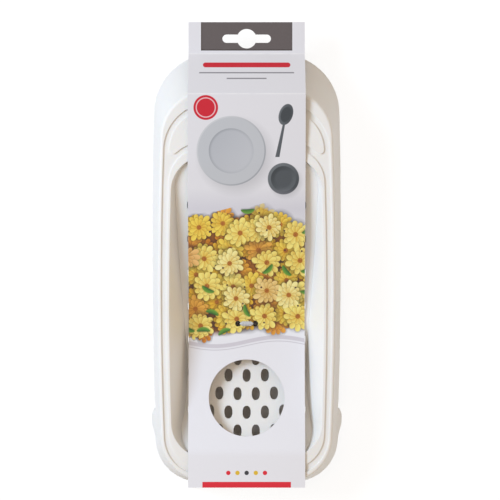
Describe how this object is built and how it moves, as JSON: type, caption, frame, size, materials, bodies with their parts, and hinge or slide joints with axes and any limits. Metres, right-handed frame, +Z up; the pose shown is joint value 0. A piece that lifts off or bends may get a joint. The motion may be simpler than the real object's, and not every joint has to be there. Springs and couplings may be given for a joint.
{
  "type": "spaetzle grater in a card sleeve",
  "caption": "Long white moulded spaetzle grater with a bowed oval-holed floor, channelled rim and pot hooks, in a folded printed card sleeve with hang tab, dark scraper below.",
  "frame": {"origin": "middle of the pack's footprint, on the underside of the sleeve's back panel", "axes": "+X across the tray, to the right with the hang tab at the top; +Y along the tray towards the hang tab; +Z up, out of the tray"},
  "size_m": [0.1276, 0.3097, 0.0539],
  "materials": {
    "white_moulding": "fine satin moulding",
    "dark_moulding": "fine matt moulding",
    "printed_card": "coated and printed paperboard, bare grey-brown board inside",
    "clear_tie": "milky clear ribbon with a thin wire core"
  },
  "bodies": {
    "grater": {"tray_frame": "white_moulding", "hole_plate": "white_moulding", "sleeve_end_panel": "printed_card"},
    "front_panel": {"sleeve_front_panel": "printed_card"},
    "back_panel": {"sleeve_back_panel": "printed_card"},
    "tie": {"tie": "clear_tie"},
    "scraper": {"scraper": "dark_moulding"}
  },
  "joints": [
    {"name": "front_panel_hinge", "type": "hinge", "parent": "grater", "child": "front_panel", "pos_m": [0, -0.1511, 0.03915], "axis": [1, 0, 0], "range_deg": [0, 150]},
    {"name": "tie_pull", "type": "slide", "parent": "front_panel", "child": "tie", "axis": [0, 0, 1], "range_m": [0, 0.02]},
    {"name": "back_panel_hinge", "type": "hinge", "parent": "grater", "child": "back_panel", "pos_m": [0, -0.15485, 0], "axis": [1, 0, 0], "range_deg": [-110, 0]},
    {"name": "scraper_drop", "type": "slide", "parent": "grater", "child": "scraper", "axis": [0, 0, 1], "range_m": [-0.12, 0]}
  ],
  "couplings": [
    {"joint": "scraper_drop", "follows": "back_panel_hinge", "m_per_rad": 0.06}
  ]
}
